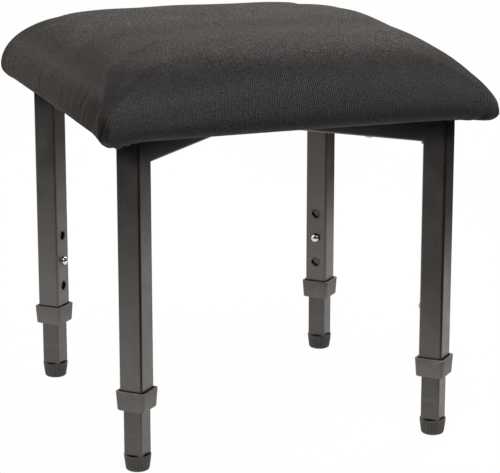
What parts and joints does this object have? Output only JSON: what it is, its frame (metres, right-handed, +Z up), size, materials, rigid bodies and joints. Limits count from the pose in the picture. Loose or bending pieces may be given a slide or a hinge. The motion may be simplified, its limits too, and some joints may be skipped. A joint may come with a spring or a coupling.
{
  "type": "adjustable musicians stool",
  "caption": "Square padded stool on telescopic square-tube legs with snap-button height setting, joined by crossed rails under the seat.",
  "frame": {"origin": "on the floor under the middle of the seat, with every leg at its middle height setting", "axes": "+Z up, +X to the right and -Y to the front of the stool, both square to the seat's sides"},
  "size_m": [0.402, 0.402, 0.416],
  "materials": {
    "frame_paint": "satin black powder coat",
    "black_plastic": "moulded, satin",
    "cover_fabric": "charcoal ribbed weave",
    "foam": "open cell upholstery foam",
    "plywood": "plain plywood",
    "bright_nickel": "bright nickel plate",
    "spring_steel": "spring steel strip",
    "zinc_steel": "zinc plated"
  },
  "bodies": {
    "frame": {"seat_cover": "cover_fabric", "seat_foam": "foam", "seat_board": "plywood", "rail_long": "frame_paint", "rail_half_right": "frame_paint", "rail_half_left": "frame_paint", "outer_leg_front_left": "frame_paint", "outer_leg_front_right": "frame_paint", "outer_leg_back_left": "frame_paint", "outer_leg_back_right": "frame_paint", "collar_front_left": "black_plastic", "collar_front_right": "black_plastic", "collar_back_left": "black_plastic", "collar_back_right": "black_plastic", "seat_screw_front_left": "zinc_steel", "seat_screw_front_right": "zinc_steel", "seat_screw_back_left": "zinc_steel", "seat_screw_back_right": "zinc_steel"},
    "leg_front_left": {"inner_leg_front_left": "frame_paint", "foot_front_left": "black_plastic", "snap_spring_front_left": "spring_steel"},
    "leg_front_right": {"inner_leg_front_right": "frame_paint", "foot_front_right": "black_plastic", "snap_spring_front_right": "spring_steel"},
    "leg_back_left": {"inner_leg_back_left": "frame_paint", "foot_back_left": "black_plastic", "snap_spring_back_left": "spring_steel"},
    "leg_back_right": {"inner_leg_back_right": "frame_paint", "foot_back_right": "black_plastic", "snap_spring_back_right": "spring_steel"},
    "button_front_left": {"snap_button_front_left": "bright_nickel"},
    "button_front_right": {"snap_button_front_right": "bright_nickel"},
    "button_back_left": {"snap_button_back_left": "bright_nickel"},
    "button_back_right": {"snap_button_back_right": "bright_nickel"}
  },
  "joints": [
    {"name": "leg_slide_front_left", "type": "slide", "parent": "frame", "child": "leg_front_left", "axis": [0, 0, -1], "range_m": [-0.0285, 0.0285], "deforming": ["snap_button_front_left"]},
    {"name": "leg_slide_front_right", "type": "slide", "parent": "frame", "child": "leg_front_right", "axis": [0, 0, -1], "range_m": [-0.0285, 0.0285], "deforming": ["snap_button_front_right"]},
    {"name": "leg_slide_back_left", "type": "slide", "parent": "frame", "child": "leg_back_left", "axis": [0, 0, -1], "range_m": [-0.0285, 0.0285], "deforming": ["snap_button_back_left"]},
    {"name": "leg_slide_back_right", "type": "slide", "parent": "frame", "child": "leg_back_right", "axis": [0, 0, -1], "range_m": [-0.0285, 0.0285], "deforming": ["snap_button_back_right"]},
    {"name": "button_press_front_left", "type": "slide", "parent": "leg_front_left", "child": "button_front_left", "axis": [-0.7071, -0.7071, 0], "range_m": [0, 0.0069], "stiffness_N_per_m": 2500, "springref_m": -0.002, "deforming": ["snap_spring_front_left"]},
    {"name": "button_press_front_right", "type": "slide", "parent": "leg_front_right", "child": "button_front_right", "axis": [0.7071, -0.7071, 0], "range_m": [0, 0.0069], "stiffness_N_per_m": 2500, "springref_m": -0.002, "deforming": ["snap_spring_front_right"]},
    {"name": "button_press_back_left", "type": "slide", "parent": "leg_back_left", "child": "button_back_left", "axis": [-0.7071, 0.7071, 0], "range_m": [0, 0.0069], "stiffness_N_per_m": 2500, "springref_m": -0.002, "deforming": ["snap_spring_back_left"]},
    {"name": "button_press_back_right", "type": "slide", "parent": "leg_back_right", "child": "button_back_right", "axis": [0.7071, 0.7071, 0], "range_m": [0, 0.0069], "stiffness_N_per_m": 2500, "springref_m": -0.002, "deforming": ["snap_spring_back_right"]}
  ]
}
